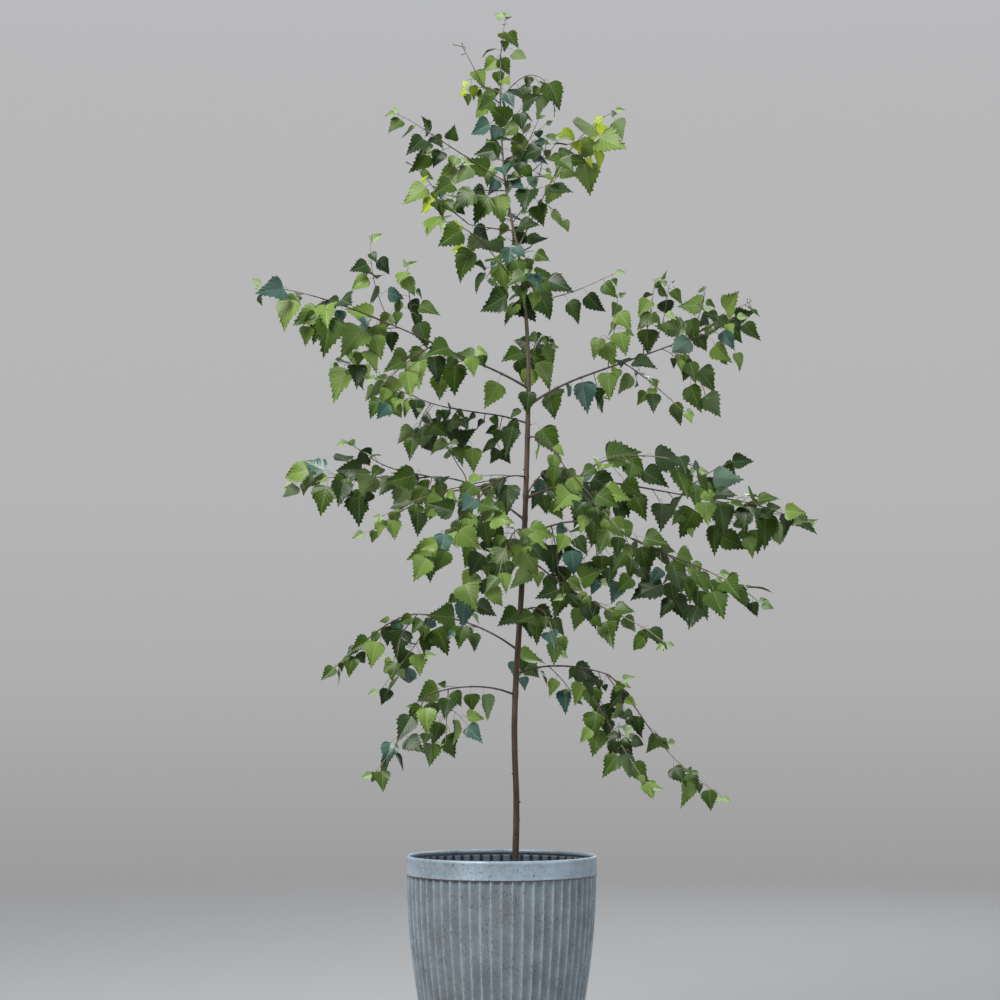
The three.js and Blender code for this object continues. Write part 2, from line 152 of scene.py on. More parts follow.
TRUNK_SPRIGS = (  # as SPRIGS, with a height on the trunk for limb and part
    (1.93, (-0.075, -0.03, -0.08), 0.038, PLAIN),
    (1.99, (0.085, -0.025, 0.2), 0.035, COOL),
    (2.085, (0.125, -0.045, 0.095), 0.04, COOL),
    (2.07, (-0.09, -0.03, -0.01), 0.035, SUNNY),
    (2.14, (0.085, 0.045, 0.11), 0.04, COOL),
)
TRUNK_SPURS = (1.5, 1.66)  # leaves on short spurs between these heights
LEADER = (1.8, 2.38)  # twigs and leaves on the leader between these heights
LEADER_OPEN = 2.04  # and longer twigs, wider apart, above this one
LEADER_TIP = 2.28  # its leaves are small and pale above this one
# stubs of lost twigs on the trunk: height, heading in degrees and radius
STUBS = ((0.53, 250, 0.0019), (0.562, 30, 0.0016), (0.604, 340, 0.0022), (0.672, 200, 0.0015),
         (0.745, 300, 0.0016), (1.115, 215, 0.0016), (1.392, 185, 0.0015), (1.705, 20, 0.0013))


# ---- small sums ----
def centre_of(points):
    return sum(points, Vector()) / len(points)


def length_of(line):
    return sum((line[i + 1] - line[i]).length for i in range(len(line) - 1))


def nearest_on(line, point):
    return min(range(len(line)), key=lambda k: (line[k] - point).length)


def flattened(way):
    return Vector((way.x, way.y, 0))


def left_of(way):
    return Vector((-way.y, way.x, 0))


def heading_to(angle, rise=0.0):
    """A level direction at an angle from the tree's right, with a rise added."""
    return Vector((math.cos(angle), math.sin(angle), rise))


def strewn(rng, *spreads):
    """A step with a normal spread along each axis."""
    return Vector([rng.gauss(0, spread) for spread in spreads])


def within(rng, *limits):
    """A step drawn evenly between limits: a pair for each axis, or one number either way."""
    return Vector([rng.uniform(*((-limit, limit) if np.isscalar(limit) else limit))
                   for limit in limits])


def letters(name):
    """A number made of a name, to start its own row of random draws."""
    return sum(ord(letter) for letter in name)


# ---- reading the frame ----
def merged(name):
    """A CAD node's corners, each once, and for each corner those that an edge joins to it."""
    mesh = NODES[name].data
    index, points, own = {}, [], []
    for vertex in mesh.vertices:
        own.append(index.setdefault(tuple(round(c * 1e5) for c in vertex.co), len(points)))
        if own[-1] == len(points):
            points.append(vertex.co.copy())
    links = [set() for _ in points]
    for edge in mesh.edges:
        a, b = (own[v] for v in edge.vertices)
        if a != b:
            links[a].add(b)
            links[b].add(a)
    return points, links


RING_GAP = 0.009  # a limb's corners on one ring are nearer together, and its rings further apart


def limb_sections(name, near):
    """The centres and the radii of a limb's rings, from the end nearest the point near."""
    points, links = merged(name)
    ring_of = list(range(len(points)))

    def root(i):
        while ring_of[i] != i:
            i = ring_of[i]
        return i

    for i, joined in enumerate(links):
        for j in joined:
            if (points[i] - points[j]).length < RING_GAP:
                ring_of[root(i)] = root(j)
    rings = {}
    for i in range(len(points)):
        rings.setdefault(root(i), []).append(points[i])
    centres = [centre_of(ring) for ring in rings.values()]
    radii = [sum((p - c).length for p in ring) / len(ring)
             for ring, c in zip(rings.values(), centres)]
    order = sorted(range(len(centres)), key=lambda k: (centres[k] - near).length)
    return [centres[k] for k in order], [radii[k] for k in order]


NO_REACH = (0.003,) * 4  # at either end of a mass


def mass_shape(name):
    """The line of the shoot inside a mass, and how far the mass reaches from it along the way:
    to the shoot's left, its right, above and below."""
    points, links = merged(name)

    def spread(i):
        around = [points[j] for j in links[i]]
        return max((p - centre_of(around)).length for p in around)

    root = min((i for i, joined in enumerate(links) if len(joined) == 8), key=spread)
    level, reached = {root: 0}, [root]
    for i in reached:
        for j in links[i]:
            if j not in level:
                level[j] = level[i] + 1
                reached.append(j)
    rings = [[points[i] for i in reached if level[i] == k] for k in range(level[reached[-1]] + 1)]
    start, finish = points[root], rings[-1][0]
    flat = flattened(finish - start).normalized()
    side = left_of(flat)
    line, reaches = [start], [NO_REACH]
    for ring in rings[1:-1]:
        # the two corners straight out to the sides share a height and a distance along
        a, b = min(itertools.combinations(ring, 2),
                   key=lambda ab: abs(ab[0].z - ab[1].z) + abs((ab[0] - ab[1]).dot(flat)))
        left, right = (a, b) if (a - b).dot(side) > 0 else (b, a)
        place = left - side * (left - start).dot(side)
        inline = sorted(ring, key=lambda p: abs((p - start).dot(side)))[:2]
        upper, lower = sorted(inline, key=lambda p: -p.z)
        line.append(place)
        reaches.append([(corner - place).length for corner in (left, right, upper, lower)])
    return line + [finish], reaches + [NO_REACH]


def resampled(points, values, step):
    """A smooth line through the points, at even steps, with the values along it."""
    pts = np.array([tuple(p) for p in points], float)
    vals = np.array(values, float)
    gaps = np.linalg.norm(np.diff(pts, axis=0), axis=1)
    where = np.concatenate([[0], np.cumsum(gaps)])
    count = max(2, int(round(where[-1] / step)) + 1)
    targets = np.linspace(0, where[-1], count)
    if len(pts) > 2:
        tangents = np.gradient(pts, where, axis=0)
    else:
        tangents = np.tile((pts[-1] - pts[0]) / where[-1], (2, 1))
    found = np.clip(np.searchsorted(where, targets, side="right") - 1, 0, len(pts) - 2)
    h = where[found + 1] - where[found]
    s = ((targets - where[found]) / h)[:, None]
    p0, p1 = pts[found], pts[found + 1]
    m0, m1 = tangents[found] * h[:, None], tangents[found + 1] * h[:, None]
    curve = (2 * s ** 3 - 3 * s ** 2 + 1) * p0 + (s ** 3 - 2 * s ** 2 + s) * m0
    curve += (-2 * s ** 3 + 3 * s ** 2) * p1 + (s ** 3 - s ** 2) * m1
    return [Vector(p) for p in curve], list(np.interp(targets, where, vals))


# ---- mesh making ----
def into_scene(name, data):
    made = bpy.data.objects.new(name, data)
    bpy.context.scene.collection.objects.link(made)
    return made


class Batch:
    """Pieces of one kind, joined into one mesh."""

    def __init__(self):
        self.points, self.faces, self.kinds, self.count, self.total = [], [], [], 0, 0

    def add(self, points, faces, kind=0):
        """faces are triangles, and kind is the place of their material in the piece's list:
        one number, or one for each face."""
        self.points.append(np.asarray(points, np.float32))
        self.faces.append(np.asarray(faces, np.int32) + self.count)
        self.kinds.append(np.full(len(faces), kind, np.int32))
        self.count += len(points)
        self.total += len(faces)

    def piece(self, name, materials, slot, replaces, marks=None):
        points, faces = np.concatenate(self.points), np.concatenate(self.faces)
        mesh = bpy.data.meshes.new(name)
        mesh.from_pydata(points, [], faces, shade_flat=False)
        for material in materials:
            mesh.materials.append(material)
        mesh.polygons.foreach_set("material_index", np.concatenate(self.kinds))
        mesh.validate()
        for mark, values in (marks or {}).items():
            data = mesh.attributes.new(mark, "FLOAT", "POINT").data
            data.foreach_set("value", np.asarray(values, np.float32))
        piece = into_scene(name, mesh)
        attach(piece, "root")
        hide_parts(*replaces)


def triangles(quads):
    return np.concatenate([quads[:, [0, 1, 2]], quads[:, [0, 2, 3]]])


def frames(line):
    """Directions along a line, and two across it that don't spin."""
    last = len(line) - 1
    ahead = [(line[min(i + 1, last)] - line[max(i - 1, 0)]).normalized() for i in range(last + 1)]
    across = ahead[0].orthogonal().normalized()
    found = []
    for direction in ahead:
        across = (across - direction * across.dot(direction)).normalized()
        found.append((direction, across, direction.cross(across)))
    return found


def loft(batch, rings, foot=None, top=None):
    """Rings of equal count, joined in order, with a middle point at either end if given."""
    count = len(rings[0])
    points = np.concatenate(rings)
    low = np.arange(count)
    ahead = (low + 1) % count
    faces = [triangles(np.stack([low, ahead, ahead + count, low + count], axis=1) + i * count)
             for i in range(len(rings) - 1)]
    if foot is not None:
        faces.append(np.stack([np.full(count, len(points)), ahead, low], axis=1))
        points = np.concatenate([points, [foot]])
    if top is not None:
        last = (len(rings) - 1) * count
        faces.append(np.stack([np.full(count, len(points)), last + low, last + ahead], axis=1))
        points = np.concatenate([points, [top]])
    batch.add(points, np.concatenate(faces))


def tube(batch, line, radii, sides, relief=None):
    """A limb along the line, closed at both ends. relief(angle, distance) is how far its surface
    rises at an angle round it and a distance along it."""
    rings, travelled, turned = [], 0.0, frames(line)
    for i, (point, radius, (_, a, b)) in enumerate(zip(line, radii, turned)):
        if i:
            travelled += (point - line[i - 1]).length
        ring = []
        for k in range(sides):
            angle = 2 * math.pi * k / sides
            reach = radius + (relief(angle, travelled) if relief else 0.0)
            ring.append(point + (a * math.cos(angle) + b * math.sin(angle)) * reach)
        rings.append(ring)
    loft(batch, rings, line[0], line[-1] + turned[-1][0] * radii[-1] * 0.6)


# ---- leaf shapes ----
TOOTH_TIPS = (0.17, 0.31, 0.45, 0.58, 0.7, 0.81)  # along the blade, from its base
VEIN_ROOTS = (0.0, 0.055, 0.15, 0.27, 0.41, 0.56)
TOOTH_OUT = ((0.022, 0.04),) + ((0.026, 0.068),) * 5  # how far each stands out, from and to
OUTLINE_ALONG = (0, 0.015, 0.05, 0.12, 0.2, 0.3, 0.38, 0.46, 0.56, 0.66, 0.76, 0.86, 0.94, 1)
OUTLINE_WIDTH = (0, 0.16, 0.265, 0.335, 0.368, 0.362, 0.326, 0.276, 0.208, 0.145, 0.092, 0.05,
                 0.023, 0)  # half the blade's, at those places along it
SHOULDER = ((0.115, -0.004), (0.215, 0.008), (0.3, 0.055))  # across and along
BLADE_THICK = 0.0045  # this and the rest against the blade's length
MIDRIB_HALF = 0.01
BEND_STEPS = 40


def blade(rng, fold, bend, curl, twist):
    """One blade, 1 long: corners, triangles, and their kinds: 0 upper face, 1 under, 2 veins.
    Its base is at the origin, its tip towards +Y and its upper face towards +Z."""
    flat, faces, edge, chains = [], [], [], []  # faces are three corners and a kind

    def corner(x, y, z=0.0, rim=False):
        flat.append([x, y, z])
        edge.append(rim)
        return len(flat) - 1

    def width(y):
        return float(np.interp(y, OUTLINE_ALONG, OUTLINE_WIDTH))

    lean = rng.uniform(0.88, 1.12)  # one half is a little wider than the other
    point = corner(0, 1.0, -0.01, True)
    for side in (-1, 1):
        wide = lean if side < 0 else 2 - lean

        def rim(y, out, z):
            return corner(side * max(0.004, width(y) * wide + out), y, z, True)

        def fan(ring, kind, bulge=None):
            ring = ring[::side]
            if bulge is not None:
                x, y = (sum(flat[i][c] for i in ring) / len(ring) for c in (0, 1))
                ring = [corner(x, y, bulge)] + ring + ring[:1]
            faces.extend((ring[0], a, b, kind) for a, b in zip(ring[1:], ring[2:]))

        tips = [tip + rng.uniform(-0.018, 0.018) for tip in TOOTH_TIPS]
        points = [rim(y + 0.022, rng.uniform(*out), -0.01) for y, out in zip(tips, TOOTH_OUT)]
        low = [corner(side * MIDRIB_HALF, y) for y in VEIN_ROOTS]
        high = [corner(side * MIDRIB_HALF, y + 0.02) for y in VEIN_ROOTS]
        neck = corner(side * MIDRIB_HALF * 0.6, 0.86)
        chains.append([v for pair in zip(low, high) for v in pair] + [neck])
        shoulder = [corner(side * x * wide, y + rng.uniform(-0.006, 0.006), 0.0, True)
                    for x, y in SHOULDER]
        fan([low[0]] + shoulder + [points[0]], 0)
        for vein in zip(low, points, high):
            fan(list(vein), 2)
        for k in range(len(tips) - 1):
            y, gap = tips[k], tips[k + 1] - tips[k]
            notch = rim(y + 0.34 * gap, -rng.uniform(0.018, 0.04), 0.006)
            small = rim(y + 0.66 * gap, rng.uniform(0.002, 0.018), 0.0)
            nick = rim(y + 0.76 * gap, -rng.uniform(0.01, 0.022), 0.004)
            fan([high[k], points[k], notch, small, nick, points[k + 1], low[k + 1]], 0, 0.018)
        y = tips[-1]
        notch, small = rim(y + 0.045, -0.012, 0.004), rim(y + 0.1, 0.004, 0.0)
        fan([high[-1], points[-1], notch, small, point, neck], 0)
    left, right = chains
    for k in range(len(left) - 1):
        faces += [(left[k], right[k], right[k + 1], 2), (left[k], right[k + 1], left[k + 1], 2)]
    faces.append((left[-1], right[-1], point, 2))

    top = np.array(flat)
    under = top.copy()
    under[~np.array(edge), 2] -= BLADE_THICK
    both = np.concatenate([top, under])
    # fold the halves up about the midrib, curl the edges, then bend and twist along the length
    x, y, z = both.T
    lift = np.abs(x) * math.sin(fold)
    waves = [rng.uniform(0.9, 2.0) * y + rng.random() for _ in range(2)]
    height = rng.uniform(0.012, 0.055)
    wave = height * np.sin(2 * math.pi * np.where(x < 0, waves[0], waves[1]))
    z = z + lift - curl * x ** 2 + wave * (np.abs(x) / 0.38) ** 1.4
    x = x * math.cos(fold)
    turn = twist * y
    x, z = x * np.cos(turn) + z * np.sin(turn), z * np.cos(turn) - x * np.sin(turn)
    steps = np.linspace(0, 1, BEND_STEPS + 1)
    slope = bend * steps ** 1.5
    run, drop = (np.concatenate([[0], np.cumsum((part[1:] + part[:-1]) / 2) / BEND_STEPS])
                 for part in (np.cos(slope), np.sin(slope)))
    here = np.interp(y, steps, slope)
    y = np.interp(y, steps, run) + z * np.sin(here)
    z = z * np.cos(here) - np.interp(both[:, 1], steps, drop)
    tris, kinds = np.array(faces)[:, :3], np.array(faces)[:, 3]
    return (np.stack([x, y, z], axis=1), np.concatenate([tris, tris[:, ::-1] + len(top)]),
            np.concatenate([kinds, np.where(kinds == 2, 2, 1)]))


def blade_set(seed, count, fold, bend):
    """Blades with a fold and a bend between limits, in degrees."""
    rng = random.Random(seed)
    return [blade(rng, math.radians(rng.uniform(*fold)), math.radians(rng.uniform(*bend)),
                  rng.uniform(-0.25, 0.45), math.radians(rng.uniform(-28, 28)))
            for _ in range(count)]


GROWN = blade_set(SEED + 1, 12, (4, 26), (-8, 48))
YOUNG = blade_set(SEED + 2, 5, (24, 48), (-5, 30))
# deep leaves are painted shade, teal ones a painted sky reflection, fresh ones partly painted
# light, bright ones painted sunlight
TONE_NAMES = ("deep", "teal_sky_sheen", "mid", "fresh_and_lit", "sunlit", "young")
MOST_TRIANGLES = 180_000  # in one piece of leaves; the next leaf starts another
LEAVES = {tone: [Batch()] for tone in TONE_NAMES}
PETIOLES, OLD_TWIGS, NEW_TWIGS, LIMBS = Batch(), Batch(), Batch(), Batch()


def place_leaf(base, ahead, face, length, width, tone, rng):
    """A blade from base towards ahead, its upper face towards face."""
    ahead = ahead.normalized()
    across = ahead.cross(face).normalized()
    face = across.cross(ahead)
    points, faces, kinds = rng.choice(YOUNG if tone == "young" else GROWN)
    scaled = points * np.array([length * width, length, length])
    turned = scaled @ np.array([across, ahead, face])
    if LEAVES[tone][-1].total > MOST_TRIANGLES:
        LEAVES[tone].append(Batch())
    LEAVES[tone][-1].add(turned + np.array(base), faces, kinds)


HANGING = (0.97, 0.93, 0.9, 0.86, 0.82, 0.78, 0.72, 0.62, 0.45)  # 1 hangs straight down
RAISED = (0.95, 0.85, 0.75, 0.65, 0.55, 0.4)  # the same, for a leaf on top of its twig
LEAF_SPACING = 0.57  # least distance between leaves, against their mean length
DEPTH_SHARE = 0.38  # how far a step to the front or back counts towards it
TRIES = 5  # places that a leaf looks for light in
CELL = 0.06  # of a grid over the front, to find neighbours by
PLACED = {}  # centres and lengths of the leaves, by cell
STALK = (0.24, 0.46)  # a petiole's length, against its blade's
STALK_RADII = (0.00055, 0.0005, 0.0005)
SUNLIT_SIZE = 0.72  # a bright leaf's, against the rest: bright leaves are painted sunlight
OPEN_SHARE = 0.9  # leaves that face the open side
BACK_SHARE = 0.4  # the most of them that face the back
BLADE_WIDTH = (0.98, 1.2)  # against the outline's


def cell_of(centre):
    return round(centre.x / CELL), round(centre.z / CELL)


def crowded(centre, length):
    """Whether a leaf here would shade one that is there already: leaves spread out to the light."""
    column, row = cell_of(centre)
    for i, j in itertools.product((-1, 0, 1), repeat=2):
        for other, long in PLACED.get((column + i, row + j), ()):
            gap = other - centre
            gap.y *= DEPTH_SHARE
            if gap.length < LEAF_SPACING * (length + long) / 2:
                return True
    return False


def hang_leaf(at, out, length, tone, rng, given=None):
    """A petiole that leaves the twig towards out and bends down, and the blade that hangs from
    it, as steeply as given says, where there is light for one. Blades turn their upper face to
    the open side: the tree's front, and its back behind."""
    if tone == "sunlit":
        length *= SUNLIT_SIZE
    for _ in range(TRIES):
        out = out.normalized()
        stalk = length * rng.uniform(*STALK)
        hang = rng.choice(RAISED if out.z > 0.5 else HANGING) if given is None else given
        soft = (out * (1.1 - hang) + DOWN * hang).normalized()
        knee = at + out * stalk * 0.45
        base = knee + soft * stalk * 0.55
        flat = flattened(out)
        if flat.length < 0.05:
            flat = Vector((rng.uniform(-1, 1), rng.uniform(-1, 1), 0))
        flat = flat.normalized()
        ahead = ((flat + UP * max(0.0, out.z)) * (1 - hang) + DOWN * hang * rng.uniform(0.8, 1.0)
                 + strewn(rng, 0.28, 0.16, 0.1)).normalized()
        centre = base + ahead * length * 0.45
        if not crowded(centre, length):
            break
        out = out + within(rng, 0.8, 0.4, (-0.3, 0.5))
    else:
        return
    PLACED.setdefault(cell_of(centre), []).append((centre, length))
    tube(PETIOLES, [at, knee, base], STALK_RADII, 4)
    if rng.random() < OPEN_SHARE:
        front = -0.9 if rng.random() < min(BACK_SHARE, at.y - 0.05) else 0.95
        face = Vector((0, -front, 0)) + UP * 0.3 + flat * 0.25
        face += strewn(rng, 0.28, 0.22, 0.2)
    else:
        face = within(rng, 1, 1, (-0.2, 1))
    place_leaf(base, ahead, face, length, rng.uniform(*BLADE_WIDTH), tone, rng)


def pick_tone(shares, rng):
    """A tone drawn by its share."""
    roll, total = rng.random() * sum(shares), 0.0
    for tone, share in zip(TONE_NAMES, shares):
        total += share
        if roll <= total:
            break
    return tone


# ---- growing ----
SMALL_SHARE, SMALL_LEAF = 0.28, (0.03, 0.048)  # how many blades are short, and their lengths
LARGE_LEAF = (0.048, 0.088, 0.062)  # and the others': least, most and usual
FULL_TO, LAST_THIRD, TIP_LOSS = 0.66, 0.34, 0.35  # blades grow smaller over a shoot's last third


def leaf_length(rng, t):
    """Blade length at a part t of the way along a shoot."""
    if rng.random() < SMALL_SHARE:
        full = rng.uniform(*SMALL_LEAF)
    else:
        full = rng.triangular(*LARGE_LEAF)
    return full * (1 - TIP_LOSS * max(0.0, (t - FULL_TO) / LAST_THIRD))


def room_towards(reach, turn):
    """How far a mass reaches from its shoot: turn 0 is straight left, a quarter is up."""
    left, right, above, below = reach
    across, rise = math.cos(turn), math.sin(turn)
    a, b = left if across > 0 else right, above if rise > 0 else below
    return 1 / math.sqrt((across / a) ** 2 + (rise / b) ** 2)


def sweep(reach, turn, rng):
    """The next node's turn about the shoot: over a third round, and sooner where there is room."""
    widest = max(reach)
    for _ in range(12):
        turn = (turn + math.radians(rng.gauss(137, 30))) % (2 * math.pi)
        if rng.random() < (room_towards(reach, turn) / widest) ** 1.2:
            break
    return turn


STEP = 0.006  # between a shoot's points
NODE_SWELL, NEAR_NODE = 0.35, 0.12  # how much thicker a shoot is at a node and beside it
HANG_ROOM = 0.032  # kept under a level shoot, for leaves below its twigs
LEAST_ROOM = 0.016  # for a side twig to grow into
TWIG_ANGLE = (42, 68)  # between it and its shoot, in degrees
YOUNG_LEAF = (0.018, 0.034)


def shoot(line, radii, reaches, shares, rng, growth=USUAL, young=True, bare=0.0, depth=0,
          trim=0.0, start=0.0):
    """Leafs one shoot, from the part start of its line up to the part bare at its end. Each of
    its nodes has a leaf or two, and may have a side twig. The shoot itself stops short of its
    line's end by trim, to leave room for the leaves at its tip. Side twigs have depth 1."""
    gauge, numbers, twig_chance, leaf_size = growth
    points, sizes = resampled(line, radii, STEP)
    kept = max(3, len(points) - round(trim / STEP))
    points, sizes = points[:kept], sizes[:kept]
    total = length_of(points)
    turned = frames(points)
    last = len(points) - 1
    travelled, turn = start * total + gauge * rng.uniform(0.3, 0.8), rng.uniform(0, 2 * math.pi)
    swollen = list(sizes)
    places = np.linspace(0, 1, len(reaches))
    reaches = [reaches[1]] + list(reaches[1:])  # a mass comes to a point where its shoot enters
    while travelled < total * (1 - bare):
        t = travelled / total
        k = min(last, round(t * last))
        ahead = turned[k][0]
        flat = flattened(ahead)
        side = left_of(flat).normalized() if flat.length > 0.05 else Vector((1, 0, 0))
        up = ahead.cross(side)
        up = -up if up.z < 0 else up
        for j in (k - 1, k, k + 1):
            if 0 <= j <= last:
                swollen[j] += sizes[j] * (NODE_SWELL if j == k else NEAR_NODE)
        reach = [float(np.interp(t, places, [r[n] for r in reaches])) for n in range(4)]
        # a mass holds the leaves that hang from the twigs too
        reach[3] = max(0.012, reach[3] - HANG_ROOM * flat.length)
        turn = sweep(reach, turn, rng) if depth == 0 else turn + math.radians(rng.gauss(180, 35))
        out = side * math.cos(turn) + up * math.sin(turn)
        grew = False
        if depth == 0 and t < 0.9 and rng.random() < twig_chance:
            room = room_towards(reach, turn) * rng.uniform(0.7, 1.15) - 0.006
            if room > LEAST_ROOM:
                angle = math.radians(rng.uniform(*TWIG_ANGLE))
                rooted = max(0, k - round(room / math.tan(angle) / STEP))
                side_twig(points[rooted], ahead, out, angle, sizes[rooted], room, shares, rng,
                          leaf_size)
                grew = True
        number = 1 if t > 0.85 or depth else rng.choice((0, 0, 1)) if grew else rng.choice(numbers)
        for n in range(number):
            around = turn + (rng.gauss(0, 0.5) if n == 0 else rng.gauss(math.pi, 0.7))
            away = side * math.cos(around) + up * math.sin(around) + ahead * rng.uniform(0.1, 0.8)
            hang = rng.uniform(0.45, 0.85) if t > 0.7 and not depth and ahead.z > -0.4 else None
            hang_leaf(points[k], away, leaf_length(rng, t) * leaf_size, pick_tone(shares, rng),
                      rng, hang)
        travelled += gauge * rng.uniform(0.75, 1.3)
    if young:
        for _ in range(rng.choice((2, 3))):
            out = turned[-1][0] + within(rng, 0.7, 0.7, 0.5)
            hang_leaf(points[-1], out, rng.uniform(*YOUNG_LEAF), "young", rng,
                      rng.uniform(0.05, 0.5))
    elif depth:
        hang_leaf(points[-1], turned[-1][0], leaf_length(rng, 0.75) * leaf_size,
                  pick_tone(shares, rng), rng)
    return points, swollen


def side_twig(at, ahead, out, angle, radius, room, shares, rng, leaf_size=0.9):
    """A thin twig that leaves its shoot at an angle, reaches out as far as room, and droops."""
    heading = (ahead * math.cos(angle) + out * math.sin(angle)).normalized()
    length = min(0.15, room / math.sin(angle))
    sag = DOWN * length * rng.uniform(0.08, 0.42)
    line = [at, at + heading * length * 0.5 + sag * 0.25, at + heading * length + sag]
    thick = min(radius * 0.6, 0.0011)
    points, sizes = shoot(line, [thick, thick * 0.75, 0.0005], [(0.01,) * 4] * 2, shares, rng,
                          (0.017, (1,), 0, leaf_size), rng.random() < 0.08, depth=1, start=0.25)
    tube(NEW_TWIGS if rng.random() < 0.5 else OLD_TWIGS, points, sizes, 5)


WIDE = math.radians(55)  # between a short twig and the limb it grows on
THIN = 0.002  # the radius that a short twig's own is reckoned from
trunk_line, trunk_radii = limb_sections("trunk", Vector())
TRUNK_LINE, TRUNK_RADII = resampled(trunk_line, trunk_radii, 0.003)


def on_trunk(height):
    """The trunk's middle and its radius at a height."""
    return min(zip(TRUNK_LINE, TRUNK_RADII), key=lambda place: abs(place[0].z - height))


def limb_relief(angle, distance):
    """Lengthwise ridges and small swellings."""
    ring = Vector((math.cos(angle) * 1.1, math.sin(angle) * 1.1, distance * 90))
    broad = noise.noise(ring * 0.6 + Vector((3, 1, 5)))
    fine = noise.noise(ring * 2.1)
    return 0.00022 * (0.6 * broad + 0.4 * fine)


def trunk_relief(angle, distance):
    ring = heading_to(angle)
    ridged = noise.noise(Vector((ring.x * 2.6, ring.y * 2.6, distance * 9)))
    fine = noise.noise(Vector((ring.x * 5, ring.y * 5, distance * 40 + 9)))
    lump = noise.noise(Vector((ring.x * 0.8, ring.y * 0.8, distance * 26 + 4)))
    return 0.00035 * ridged + 0.00018 * fine + 0.0003 * lump


LIMB_LINES = {"trunk": (TRUNK_LINE, TRUNK_RADII)}
COLLARS = []  # the heights where boughs leave the trunk
for name in BOUGHS:
    ends, _ = limb_sections(name, Vector())
    root = min(ends, key=lambda p: min((p - q).length for q in TRUNK_LINE[::4]))
    line, radii = limb_sections(name, root)
    k = nearest_on(TRUNK_LINE, line[0])
    inward = (line[0] - line[1]).normalized()
    COLLARS.append(line[0].z)
    line = [line[0] + inward * max(0.004, TRUNK_RADII[k] * 0.9)] + line
    radii = [radii[0] * 1.5, radii[0] * 1.25] + radii[1:]
    LIMB_LINES[name] = resampled(line, radii, 0.004)


def nearest_limb(point):
    """The limb nearest a point: its line, its radii, and the place along it."""
    limbs = [(points, sizes, nearest_on(points, point)) for points, sizes in LIMB_LINES.values()]
    return min(limbs, key=lambda limb: (limb[0][limb[2]] - point).length)


def sprig(at, run, reach, shares, rng):
    """A short shoot from a limb: it sets out level, along its run, and then droops or rises."""
    run = Vector(run)
    line = [at, at + run * 0.35 + flattened(run) * 0.22, at + run]
    thick = 0.001 + 0.0022 * run.length
    points, sizes = shoot(line, [thick, thick * 0.7, 0.0006],
                          [(reach, reach, reach * 0.7, reach)] * 2, shares, rng,
                          start=0.35 if run.z > 0.1 else 0.0)
    tube(OLD_TWIGS, points, sizes, 6)


own = random.Random(SEED + 13)
for height, run, reach, shares in TRUNK_SPRIGS:
    sprig(on_trunk(height)[0], run, reach, shares, own)

own = random.Random(SEED + 5)
height = LEADER[0]
while height < LEADER[1]:
    at, _ = on_trunk(height)
    out = heading_to(own.uniform(0, 2 * math.pi), own.uniform(-0.2, 0.5)).normalized()
    tones, size = (PALE, 0.66) if height > LEADER_TIP else (COOL, 0.95)
    if height < LEADER_OPEN:
        room, gap = (0.02, 0.04), (0.006, 0.013)
    else:
        room, gap = (0.03, 0.105), (0.009, 0.019)
    if own.random() < 0.5:
        side_twig(at, UP, out, WIDE, THIN, own.uniform(*room), tones, own, size)
    else:
        for _ in range(own.choice((1, 1, 2))):
            hang_leaf(at, out, own.triangular(0.05, 0.09, 0.07) * size, pick_tone(tones, own),
                      own, own.choice(HANGING))
            out.rotate(Quaternion(UP, own.uniform(0.8, 2.4)))
    height += own.uniform(*gap)

BARE_PART = 0.12  # the end of a shoot with buds
BUDS = (0.9, 0.94, 0.97, 0.99)  # where they are along it
BROWN_PART = 0.6  # of a shoot that ends in leaves: the rest is green
for name in MASSES:
    key = name[len("foliage_"):]
    line, reaches = mass_shape(name)
    points, sizes, k = nearest_limb(line[0])
    at_end = k >= len(points) - 2
    length = length_of(line)
    thick = sizes[k] if at_end else min(sizes[k] * 0.7, 0.0009 + 0.0026 * length)
    line = [points[k].copy()] + line[1:]
    radii = list(np.interp(np.linspace(0, 1, len(line)), [0, 0.5, 1],
                           [thick, max(0.0007, thick * 0.6), 0.0005]))
    own = random.Random(SEED + letters(name) * 31)
    bare = key in BARE_TIPS
    climb = (line[-1] - line[-2]).normalized().z
    trim = 0.0 if bare else min(max(0.0, 0.028 - 0.03 * climb), 0.2 * length)
    grown, swollen = shoot(line, radii, reaches, TONES.get(key, PLAIN), own,
                           GROWTH.get(key, USUAL), not bare, BARE_PART if bare else 0.0,
                           trim=trim, start=LEAFY_FROM.get(key, 0.0))
    if bare:
        for share in BUDS:
            k = round(share * (len(grown) - 1))
            ahead = (grown[k] - grown[k - 1]).normalized()
            away = (ahead + strewn(own, 0.7, 0.7, 0.7)).normalized()
            bud = grown[k] + away * own.uniform(0.006, 0.02)
            tube(OLD_TWIGS, [grown[k], bud, bud + (away + ahead) * 0.003],
                 [0.0009, 0.0008, 0.0011], 5)
    end = len(grown) - 1 if bare else int(len(grown) * BROWN_PART)
    tube(OLD_TWIGS, grown[:end + 1], swollen[:end + 1], 6)
    if not bare:
        tube(NEW_TWIGS, grown[end:], swollen[end:], 6)

